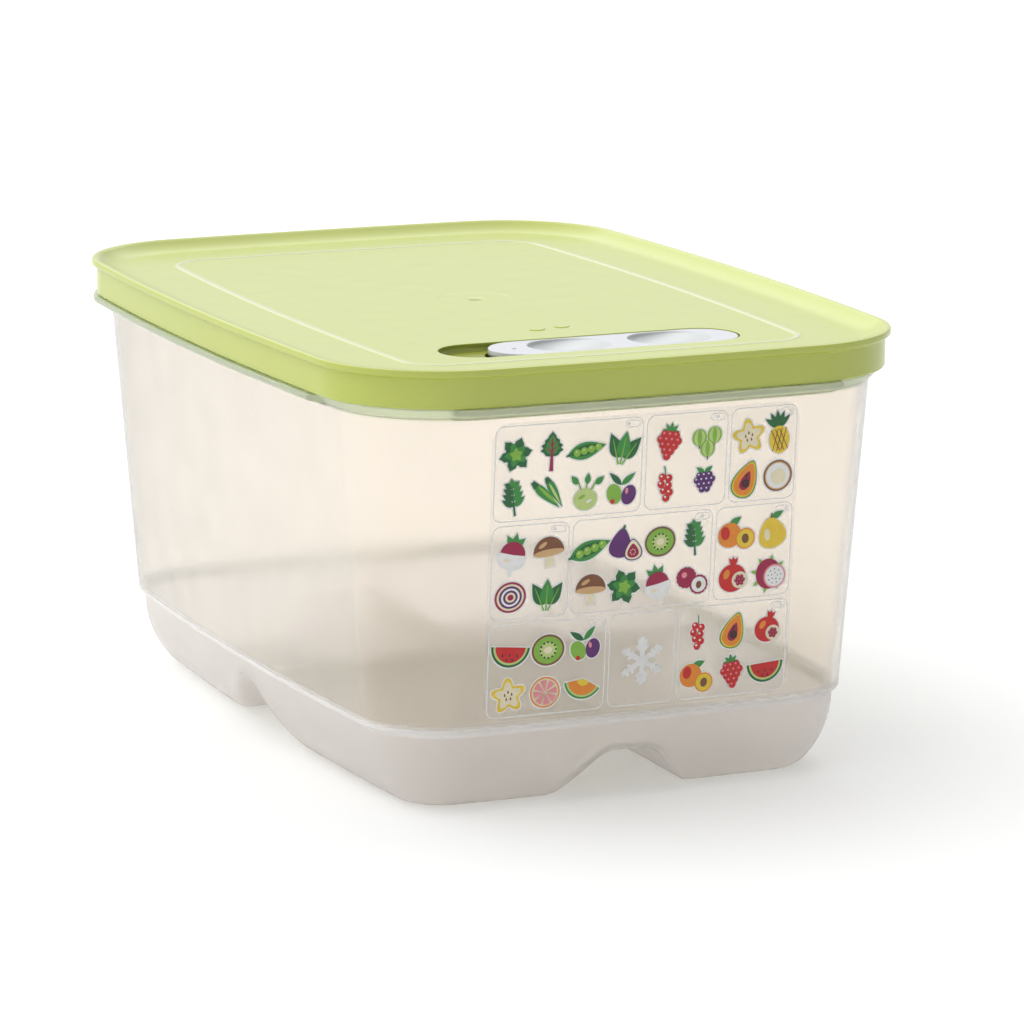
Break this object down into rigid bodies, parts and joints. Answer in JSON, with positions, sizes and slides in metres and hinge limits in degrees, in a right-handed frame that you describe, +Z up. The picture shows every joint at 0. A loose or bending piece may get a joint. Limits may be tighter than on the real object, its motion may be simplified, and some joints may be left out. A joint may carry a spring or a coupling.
{
  "type": "produce keeper",
  "caption": "Rectangular clear fridge keeper for fruit and vegetables with a skirted lime lid, a sliding air vent, a frosted footed base and a printed storage chart.",
  "frame": {"origin": "on the floor under the middle of the keeper", "axes": "+Z up, +Y along the long side towards the rear, -Y end carries the chart and the vent, +X to the right as seen from the front"},
  "size_m": [0.192, 0.274, 0.137],
  "materials": {
    "clear_plastic": "clear, slightly milky polypropylene, frosted on the foot tray",
    "lid_plastic": "satin lime green polyethylene",
    "slider_plastic": "smooth white plastic with a faint lilac cast",
    "chart_film": "clear film printed with small pictures of produce in thin pale frames"
  },
  "bodies": {
    "container": {"container": "clear_plastic", "produce_chart_label": "chart_film"},
    "lid": {"lid": "lid_plastic"},
    "slider": {"vent_slider": "slider_plastic"}
  },
  "joints": [
    {"name": "lid_lift", "type": "slide", "parent": "container", "child": "lid", "axis": [0, 0, 1], "range_m": [0, 0.06]},
    {"name": "vent_slide", "type": "slide", "parent": "lid", "child": "slider", "axis": [1, 0, 0], "range_m": [-0.0115, 0]}
  ]
}
